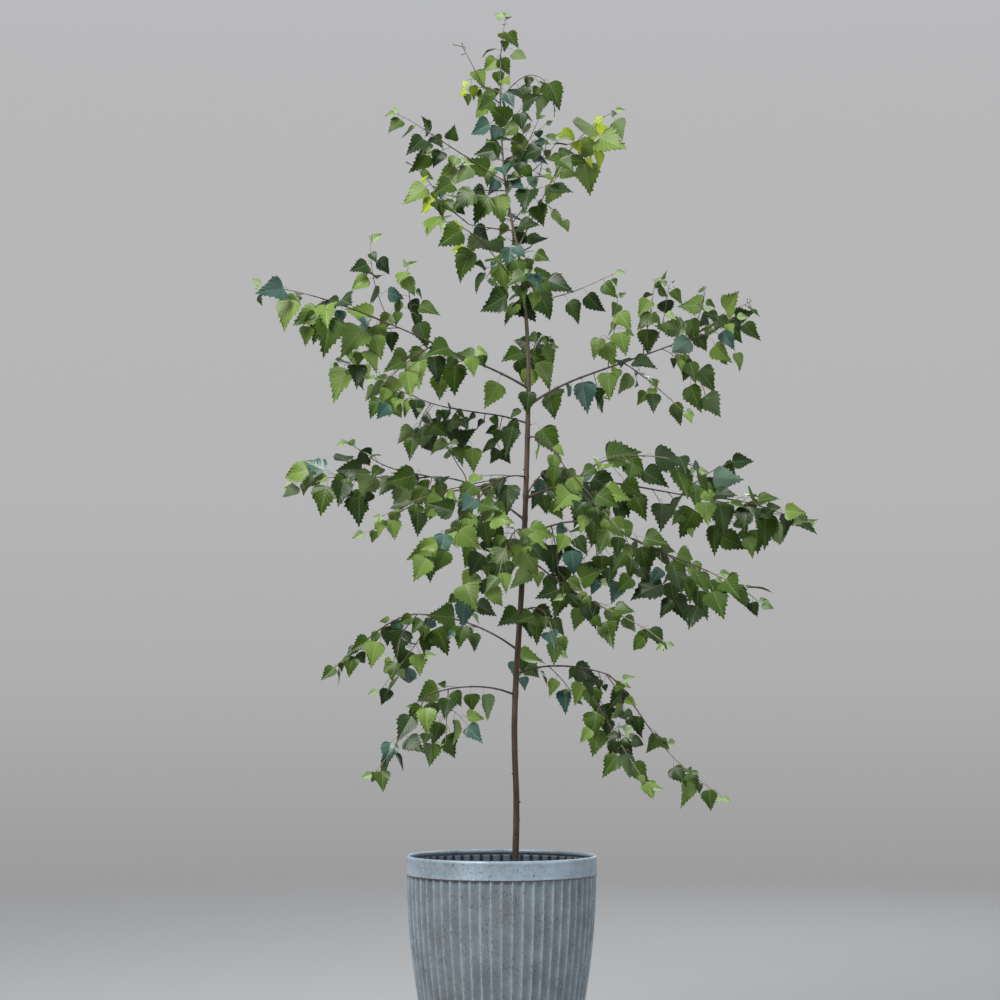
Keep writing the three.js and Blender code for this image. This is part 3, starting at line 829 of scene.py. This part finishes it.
for name in BOUGHS:
    key = name[len("bough_"):]
    points, sizes = LIMB_LINES[name]
    start, per_metre = BOUGH_LEAVES[key]
    own = random.Random(SEED + letters(name) * 17)
    turned = frames(points)
    total = length_of(points)
    swollen = list(sizes)
    travelled = start * total + 0.01
    shares = TONES.get(key, PLAIN)
    last = len(points) - 1
    while travelled < total:
        k = min(last, round(travelled / total * last))
        ahead = turned[k][0]
        side = left_of(ahead).normalized() * own.choice((-1, 1))
        swollen[k] *= 1.25
        out = side * own.uniform(0.1, 1.0) + UP * own.uniform(-0.9, 0.3)
        if own.random() < 0.45:
            side_twig(points[k], ahead, out.normalized(), WIDE, THIN, own.uniform(0.02, 0.075),
                      shares, own)
        else:
            hang_leaf(points[k], out + ahead * own.uniform(0, 0.7), leaf_length(own, 0.3),
                      pick_tone(shares, own), own)
        travelled += own.uniform(0.7, 1.3) / per_metre
    tube(LIMBS, points, [r * 0.88 for r in swollen], 12, limb_relief)

own = random.Random(SEED + 11)
for limb, share, run, reach, shares in SPRIGS:
    points, _ = LIMB_LINES["bough_" + limb]
    sprig(points[round(share * (len(points) - 1))], run, reach, shares, own)
height = TRUNK_SPURS[0]
while height < TRUNK_SPURS[1]:
    at, radius = on_trunk(height)
    out = heading_to(own.uniform(0, 2 * math.pi), 0.3).normalized()
    end = at + out * (radius + own.uniform(0.004, 0.012))
    tube(OLD_TWIGS, [at, end], [0.0016, 0.0012], 6)
    for _ in range(own.choice((1, 2, 2))):
        turn = own.gauss(0, 0.6)
        cos, sin = math.cos(turn), math.sin(turn)
        away = Vector((out.x * cos - out.y * sin, out.x * sin + out.y * cos, 0.2))
        hang_leaf(end, away, leaf_length(own, 0.3), pick_tone(PLAIN, own), own)
    height += own.uniform(0.025, 0.055)

COLLAR, COLLAR_FADE = 0.0007, 0.007  # how much the trunk swells where a bough leaves it
swollen = list(TRUNK_RADII)
for height in COLLARS:
    for k, point in enumerate(TRUNK_LINE):
        away = abs(point.z - height)
        if away < 0.02:
            swollen[k] += COLLAR * math.exp(-(away / COLLAR_FADE) ** 2)
TRUNK = Batch()
foot = TRUNK_LINE[0] + DOWN * 0.012  # in the compost
tube(TRUNK, [foot] + TRUNK_LINE, [swollen[0] * 1.1] + swollen, 40, trunk_relief)
for height, heading, thick in STUBS:
    at, radius = on_trunk(height)
    out = heading_to(math.radians(heading), 0.5).normalized()
    start = at + out * (radius * 0.6)
    tube(TRUNK, [start, start + out * radius * 0.55, start + out * (radius * 0.75 + 0.0012)],
         [thick * 1.7, thick * 1.25, thick * 0.8], 10)


# ---- the tub ----
RIM_LOW, RIM_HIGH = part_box("tub_rim")
_, BODY_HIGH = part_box("tub_body")
SOIL_LOW, SOIL_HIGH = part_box("potting_soil")
FLUTES, FLUTE_POINTS = 56, 12  # round the tub, and points across each
FLUTE_DEPTH = 0.0045
SOIL_GAP = 0.0012  # between the compost and the inside of the flutes
BODY_BULGE = 1.85  # 1 is a straight wall
SHEET = 0.0012  # the zinc's thickness
TUB_FLOOR = 0.003  # its thickness
BASE_RADIUS = max(math.hypot(p.x, p.y) for p in merged("tub_body")[0] if p.z < 0.001)


def body_radius(height):
    t = min(1.0, height / (RIM_LOW.z + 0.004))
    return BASE_RADIUS + (BODY_HIGH.x - BASE_RADIUS) * (1 - (1 - t) ** BODY_BULGE)


def soil_radius(height):
    return body_radius(height) - FLUTE_DEPTH - SHEET - SOIL_GAP


def round_about(count):
    """Angles, evenly round."""
    return 2 * math.pi * np.arange(count) / count


def ring_at(angle, radius, height):
    """Points round the tub's axis; radius and height are for all, or one for each."""
    return np.stack([radius * np.cos(angle), radius * np.sin(angle),
                     np.full(len(angle), height)], axis=1)


def fluted_ring(height, inset=0.0, up=0.0):
    """A ring of the fluted wall and, for each of its points, how deep in a flute it lies, 0 to 1,
    or 2 to 3 on the inner face."""
    count = FLUTES * FLUTE_POINTS
    part = (np.arange(count) % FLUTE_POINTS) / FLUTE_POINTS
    flute = np.arange(count) // FLUTE_POINTS
    trough = 1 - np.abs(2 * part - 1) ** 2.6
    lean = np.array([0.0036 * noise.noise(Vector((f * 1.7, height * 4, 3))) for f in flute])
    angle = round_about(count) + lean / 0.2 * (1 - np.abs(2 * part - 1))
    in_band = np.clip((height - RIM_LOW.z) / 0.012, 0, 1)
    depth = FLUTE_DEPTH * (1 - 0.25 * in_band)
    radius = body_radius(height) - 0.0006 * in_band - depth * trough - inset
    dents = np.array([noise.noise(Vector((math.cos(a) * 3, math.sin(a) * 3, height * 9)))
                      for a in angle])
    radius = radius + 0.0006 * dents * (1 - in_band)
    return ring_at(angle, radius, height + up), trough + (2.0 if inset else 0.0)


TUB = Batch()
outer = np.concatenate([[0, 0.006, 0.013], np.linspace(0.02, RIM_LOW.z, 44),
                        np.linspace(RIM_LOW.z + 0.006, BODY_HIGH.z, 6)])
inner = np.concatenate([np.linspace(BODY_HIGH.z, SOIL_HIGH.z - 0.02, 20),
                        np.linspace(SOIL_HIGH.z - 0.03, 0, 8)])
wall = [fluted_ring(height) for height in outer]
wall += [fluted_ring(height, SHEET, TUB_FLOOR if height < TUB_FLOOR else 0) for height in inner]
loft(TUB, [ring for ring, _ in wall], (0, 0, 0), (0, 0, TUB_FLOOR))
FLUTE_MARKS = np.concatenate([mark for _, mark in wall] + [[1.0, 1.0]])

RIM = Batch()
BAND = (  # inward from its outermost, and up on a band 50 mm high
    (-0.0022, 0.004), (-0.0022, 0.0006), (-0.0012, 0.0), (0.0, 0.0008), (-0.0003, 0.004),
    (-0.0008, 0.008), (-0.001, 0.016), (-0.001, 0.024), (-0.0009, 0.032), (-0.0007, 0.038),
    (-0.0002, 0.041), (0.0, 0.0435), (-0.0005, 0.0462), (-0.0017, 0.0484), (-0.0035, 0.0497),
    (-0.0052, 0.0494), (-0.0066, 0.0478), (-0.0074, 0.0455), (-0.0072, 0.0425),
    (-0.006, 0.0398), (-0.0042, 0.0382), (-0.003, 0.0378), (-0.0028, 0.03), (-0.0028, 0.015))
angle = round_about(224)
lift = (RIM_HIGH.z - RIM_LOW.z) / 0.05
rings = []
for inset, rise in BAND:
    dents = np.array([noise.noise(Vector((math.cos(a) * 5, math.sin(a) * 5, rise * 30)))
                      for a in angle])
    radius = RIM_HIGH.x + inset + 0.0004 * dents - 0.0004
    rings.append(ring_at(angle, radius, RIM_LOW.z + rise * lift))
loft(RIM, rings + rings[:1])

SOIL = Batch()
angle = round_about(120)
foot = SOIL_LOW.z + 0.002
rings = [ring_at(angle, soil_radius(height), height)
         for height in (foot, 0.5 * SOIL_HIGH.z, SOIL_HIGH.z - 0.02)]
for share in np.linspace(1, 0.02, 44):
    ring = ring_at(angle, soil_radius(SOIL_HIGH.z) * share, SOIL_HIGH.z - 0.004)
    for point in ring:
        rough = noise.fractal(Vector((point[0] * 42, point[1] * 42, 2.0)), 0.9, 2.1, 4)
        near = math.hypot(point[0] - TRUNK_LINE[0].x, point[1] - TRUNK_LINE[0].y)
        point[2] += 0.0045 * rough
        point[2] += 0.005 * math.exp(-(near / 0.03) ** 2)
        point[2] -= 0.003 * share ** 8
    rings.append(ring)
loft(SOIL, rings, (0, 0, foot), (0, 0, float(rings[-1][:, 2].mean())))


# ---- materials ----
def material(name, color, roughness=0.5, metallic=0.0, **sockets):
    made = bpy.data.materials.new(name)
    made.use_nodes = True
    shader = made.node_tree.nodes["Principled BSDF"]
    sockets.update(Base_Color=(*color, 1), Roughness=roughness, Metallic=metallic)
    for socket, value in sockets.items():
        shader.inputs[socket.replace("_", " ")].default_value = value
    return made


def times(color, share):
    return tuple(c * share for c in color)


class Nodes:
    """Short ways to wire the pattern of a material or a world."""

    def __init__(self, made, shader="Principled BSDF", place="Object"):
        self.tree = made.node_tree
        self.shader = self.tree.nodes[shader]
        self.place = self.node("TexCoord", place, {})

    def put(self, value, socket):
        """Links a value to a socket, or sets it there when it is a number or a colour."""
        if isinstance(value, bpy.types.NodeSocket):
            self.tree.links.new(value, socket)
        else:
            socket.default_value = (*value, 1) if socket.type == "RGBA" else value

    def node(self, kind, out, inputs, **settings):
        """The named output of a new node."""
        made = self.tree.nodes.new("ShaderNode" + kind)
        for setting, value in settings.items():
            setattr(made, setting, value)
        for socket, value in inputs.items():
            self.put(value, made.inputs[socket])
        return made.outputs[out]

    def noise(self, scale, detail=4.0, stretch=(1, 1, 1), rough=0.55):
        moved = self.node("Mapping", 0, {"Vector": self.place, "Scale": stretch})
        return self.node("TexNoise", "Fac", {"Vector": moved, "Scale": scale, "Detail": detail,
                                             "Roughness": rough})

    def ramp(self, value, stops):
        """Greys or colours at places along the value."""
        color = self.node("ValToRGB", "Color", {"Fac": value})
        elements = color.node.color_ramp.elements
        while len(elements) < len(stops):
            elements.new(0.5)
        for element, (place, shade) in zip(elements, stops):
            element.position = place
            element.color = (*((shade,) * 3 if np.isscalar(shade) else shade), 1)
        return color

    def mix(self, share, a, b):
        return self.node("Mix", 2, {"Factor": share, 6: a, 7: b}, data_type="RGBA")

    def math(self, operation, *values):
        return self.node("Math", 0, dict(enumerate(values)), operation=operation)

    def part(self, name):
        """One coordinate of the place: X, Y or Z."""
        return self.node("SeparateXYZ", name, {0: self.place})

    def color(self, value):
        self.put(value, self.shader.inputs["Base Color"])

    def roughness(self, value, stops):
        self.put(self.ramp(value, stops), self.shader.inputs["Roughness"])

    def bump(self, value, strength, distance):
        self.put(self.node("Bump", 0, {"Height": value, "Strength": strength,
                                       "Distance": distance}), self.shader.inputs["Normal"])


YOUNG_BARK_FROM, YOUNG_BARK_SPAN = 1.5, 0.5  # metres up, and over how many it turns


def bark(name, dark, mid, pale, young):
    """Streaked bark with pale marks across it, turning to the young shoots' olive with height."""
    made = material(name, mid, 0.62)
    n = Nodes(made)
    streaks = n.noise(260, 5, (1, 1, 0.045))
    base = n.ramp(streaks, [(0.32, dark), (0.5, mid), (0.72, pale)])
    green = n.ramp(streaks, [(0.32, times(young, 0.72)), (0.5, young), (0.72, times(young, 1.3))])
    share = n.math("MULTIPLY", n.math("SUBTRACT", n.part("Z"), YOUNG_BARK_FROM),
                   1 / YOUNG_BARK_SPAN)
    base = n.mix(n.ramp(share, [(0.0, 0.0), (1.0, 0.9)]), base, green)
    patches = n.ramp(n.noise(38, 3, (1, 1, 0.4)), [(0.45, 0.0), (0.62, 1.0)])
    base = n.mix(patches, base, n.mix(0.35, base, pale))
    marks = n.ramp(n.noise(150, 2, (0.35, 0.35, 3.2)), [(0.66, 0.0), (0.71, 1.0)])
    n.color(n.mix(marks, base, pale))
    n.roughness(streaks, [(0.2, 0.48), (0.8, 0.78)])
    n.bump(n.noise(420, 5, (1, 1, 0.12)), 0.5, 0.0006)
    return made


RUST, STAIN = (0.12, 0.062, 0.04), (0.2, 0.195, 0.165)
INSIDE_SHADE = ((0.1, (0.006, 0.01, 0.018)), (0.55, (0.035, 0.052, 0.075)),
          (0.95, (0.115, 0.155, 0.2)))  # painted shade for the inner face, darkest in its grooves, by its depth in a flute


def zinc(name, pale, mid, dark, fluted=False):
    """Weathered zinc: clouded, finely speckled, with a rust line along the band's foot. On the
    fluted wall the ridges are paler, partly as wear and partly as a painted highlight, the troughs
    darker, partly as weathering and partly as painted shade, and the inner face is painted shade,
    darkest in its grooves."""
    made = material(name, mid, 0.5, 0.25)
    n = Nodes(made)
    cloud = n.noise(14, 5)
    base = n.ramp(cloud, [(0.3, dark), (0.48, mid), (0.68, pale)])
    grain = n.noise(230, 4, (1, 1, 0.45), 0.7)
    patches = n.noise(24, 4, rough=0.65)
    if fluted:
        depth = weathering_and_painted_light = n.node("Attribute", "Fac", {}, attribute_name="flute")
        for uneven, share in ((grain, 1.6), (patches, 0.9)):
            weathering_and_painted_light = n.math("ADD", weathering_and_painted_light, n.math("MULTIPLY", n.math("SUBTRACT", uneven, 0.5), share))
        # ridges paler, partly wear and partly a painted highlight; troughs darker, partly
        # weathering and partly painted shade
        base = n.mix(n.ramp(weathering_and_painted_light, [(0.0, 0.75), (0.45, 0.0)]), base, times(pale, 1.45))
        base = n.mix(n.ramp(weathering_and_painted_light, [(0.5, 0.0), (1.0, 0.42)]), base, times(dark, 0.55))
        stain = n.ramp(n.noise(9, 4, (1, 1, 0.5)), [(0.5, 0.0), (0.75, 0.3)])
        base = n.mix(stain, base, STAIN)
        shine = n.ramp(grain, [(0.55, 0.0), (0.75, 0.4)])
    else:
        edge = n.math("MULTIPLY", n.math("SUBTRACT", n.part("Z"), RIM_LOW.z), 100)
        base = n.mix(n.ramp(edge, [(0.16, 0.85), (0.3, 0.0)]), base, RUST)
        shine = n.ramp(grain, [(0.5, 0.0), (0.7, 0.45)])
    base = n.mix(shine, base, times(pale, 1.25))
    flecks = n.ramp(n.noise(300, 3, (1, 1, 0.6), rough=0.6), [(0.36, 1.0), (0.44, 0.0)])
    veil = n.ramp(patches, [(0.42, 0.1), (0.58, 0.85)])
    base = n.mix(n.math("MULTIPLY", flecks, veil), base, times(dark, 0.3))
    if fluted:
        # the inner face takes painted shade colours in place of the zinc's own
        inside = n.ramp(n.math("SUBTRACT", depth, 1.0), [(0.4, 0.0), (0.6, 1.0)])
        base = n.mix(inside, base, n.ramp(n.math("SUBTRACT", depth, 2.0), INSIDE_SHADE))
    n.color(base)
    n.roughness(cloud, [(0.3, 0.62), (0.7, 0.46)])
    n.bump(n.noise(180, 5, rough=0.65), 0.35, 0.001)
    return made


def compost(name):
    made = material(name, (0.03, 0.02, 0.014), 0.9)
    n = Nodes(made)
    n.color(n.ramp(n.noise(160, 6, rough=0.7), [
        (0.3, (0.012, 0.008, 0.006)), (0.55, (0.045, 0.03, 0.02)), (0.75, (0.1, 0.07, 0.045))]))
    n.bump(n.noise(320, 6, rough=0.7), 0.9, 0.003)
    return made


def leaf_set(tone, upper, under, vein, gloss):
    """A tone's upper face, under face and veins."""
    shine, coat = (0.42, 0.18) if tone == "teal_sky_sheen" else (0.24, 0.08)
    return [material(f"leaf_{tone}_upper", upper, gloss, Specular_IOR_Level=shine,
                     Coat_Weight=coat, Coat_Roughness=0.32),
            material(f"leaf_{tone}_under", under, 0.6),
            material(f"leaf_{tone}_vein", vein, 0.5)]


# deep: dark green darkened as painted shade; teal: green with a painted blue sky reflection; fresh:
# partly its own lighter green, partly painted light; bright: painted sunlight
LEAF_LOOKS = {row[0]: leaf_set(*row) for row in (
    ("deep", (0.017, 0.041, 0.005), (0.07, 0.115, 0.034), (0.066, 0.108, 0.034), 0.4),
    ("teal_sky_sheen", (0.038, 0.106, 0.078), (0.095, 0.165, 0.11), (0.135, 0.2, 0.165), 0.34),
    ("mid", (0.043, 0.088, 0.006), (0.105, 0.165, 0.044), (0.11, 0.168, 0.044), 0.4),
    ("fresh_and_lit", (0.148, 0.24, 0.04), (0.2, 0.275, 0.095), (0.235, 0.31, 0.105), 0.42),
    ("sunlit", (0.34, 0.45, 0.018), (0.37, 0.46, 0.06), (0.41, 0.49, 0.09), 0.42),
    ("young", (0.27, 0.375, 0.165), (0.3, 0.39, 0.19), (0.33, 0.41, 0.2), 0.42))}
BARK = bark("birch_bark", (0.02, 0.011, 0.007), (0.06, 0.034, 0.02), (0.125, 0.08, 0.05),
            (0.15, 0.15, 0.09))
LIMB_BARK = bark("bough_bark", (0.02, 0.011, 0.01), (0.048, 0.028, 0.024), (0.12, 0.088, 0.075),
                 (0.13, 0.124, 0.08))
OLD_TWIG = material("twig_brown", (0.06, 0.033, 0.026), 0.5)
NEW_TWIG = material("twig_green", (0.19, 0.175, 0.1), 0.5)
PETIOLE = material("petiole_green", (0.14, 0.17, 0.055), 0.5)
RIM_ZINC = zinc("zinc_band", (0.375, 0.455, 0.53), (0.29, 0.355, 0.415), (0.2, 0.245, 0.285))
BODY_ZINC = zinc("zinc_fluted", (0.285, 0.34, 0.388), (0.228, 0.272, 0.308),
                 (0.17, 0.2, 0.222), True)
COMPOST = compost("potting_compost")

TRUNK.piece("birch_trunk", [BARK], "bark", ["trunk"])
LIMBS.piece("birch_boughs", [LIMB_BARK], "twig", BOUGHS)
OLD_TWIGS.piece("twigs_brown", [OLD_TWIG], "twig", MASSES)
NEW_TWIGS.piece("twigs_green", [NEW_TWIG], "twig", MASSES)
PETIOLES.piece("leaf_stalks", [PETIOLE], "leaf", MASSES)
for tone in TONE_NAMES:
    for number, batch in enumerate(LEAVES[tone], 1):
        batch.piece(f"leaves_{tone}_{number}", LEAF_LOOKS[tone], "leaf", MASSES)
TUB.piece("zinc_tub", [BODY_ZINC], "zinc", ["tub_body"], {"flute": FLUTE_MARKS})
RIM.piece("zinc_rim_band", [RIM_ZINC], "zinc", ["tub_rim"])
SOIL.piece("compost", [COMPOST], "soil", ["potting_soil"])


# ---- studio ----
FLOOR_RADIUS = 9


def floor():
    """A pale floor that fades out into the backdrop."""
    bpy.ops.mesh.primitive_circle_add(vertices=96, radius=FLOOR_RADIUS, fill_type="NGON",
                                      location=(0, 0, 0))
    made = bpy.context.object
    made.name = "floor"
    look = material("floor_pale", (0.345, 0.345, 0.347), 0.9)
    made.data.materials.append(look)
    n = Nodes(look)
    far = n.math("DIVIDE", n.node("VectorMath", "Value", {0: n.place}, operation="LENGTH"),
                 FLOOR_RADIUS)
    n.put(n.ramp(far, [(0.12, 1.0), (0.75, 0.0)]), n.shader.inputs["Alpha"])


SKY_FROM, SKY_SPAN = -0.2, 1.2  # the part of the sky, by height, that SKY tells of
SKY = ((-0.14, (0.27, 0.27, 0.27)), (-0.06, (0.355, 0.355, 0.356)), (0.01, (0.435, 0.435, 0.438)),
       (0.09, (0.475, 0.475, 0.48)), (0.25, (0.49, 0.49, 0.5)), (0.62, (0.6, 0.63, 0.66)),
       (1.0, (0.72, 0.78, 0.85)))
GARDEN = (0.05, 0.06, 0.045)


def world():
    """A pale backdrop and sky. On the viewer's side the light that comes in low is dimmer, as
    from a garden, and only the tree sees that."""
    made = bpy.data.worlds.new("studio")
    bpy.context.scene.world = made
    made.use_nodes = True
    n = Nodes(made, "Background", "Generated")
    height = n.part("Z")
    rise = n.math("DIVIDE", n.math("ADD", height, -SKY_FROM), SKY_SPAN)
    sky = n.ramp(rise, [((z - SKY_FROM) / SKY_SPAN, color) for z, color in SKY])
    low = n.ramp(height, [(0.25, 1.0), (0.6, 0.0)])
    near = n.ramp(n.math("MULTIPLY_ADD", n.part("Y"), -0.5, 0.5), [(0.45, 0.0), (0.7, 0.8)])
    seen = n.mix(n.math("MULTIPLY", low, near), sky, GARDEN)
    shown = n.mix(n.node("LightPath", "Is Camera Ray", {}), seen, sky)
    n.put(shown, n.shader.inputs["Color"])
    n.shader.inputs["Strength"].default_value = 0.98


def area_light(name, at, aim, size, power, color):
    data = bpy.data.lights.new(name, "AREA")
    data.shape, data.size, data.energy, data.color = "DISK", size, power, color
    lamp = into_scene(name, data)
    lamp.location = at
    lamp.rotation_euler = (Vector(aim) - Vector(at)).to_track_quat("-Z", "Y").to_euler()


def camera():
    data = bpy.data.cameras.new("camera")
    data.lens, data.sensor_width = CAMERA_LENS, SENSOR
    eye = into_scene("camera", data)
    eye.location = CAMERA_AT
    eye.rotation_euler = (math.pi / 2 + CAMERA_PITCH, 0, 0)
    bpy.context.scene.camera = eye


floor()
world()
area_light("key", (-3.2, -3.6, 5.2), (0, 0, 1.4), 2.8, 430, (1.0, 0.985, 0.96))
area_light("fill", (3.6, -3.0, 2.0), (0, 0, 0.9), 3.0, 60, (0.9, 0.95, 1.0))
area_light("behind", (1.8, 4.6, 3.6), (0, 0, 1.2), 3.0, 110, (0.95, 0.98, 1.0))
camera()
bpy.context.scene.view_settings.view_transform = "Standard"

print("leaves", sum(len(found) for found in PLACED.values()),
      {tone: [batch.total for batch in LEAVES[tone]] for tone in TONE_NAMES})
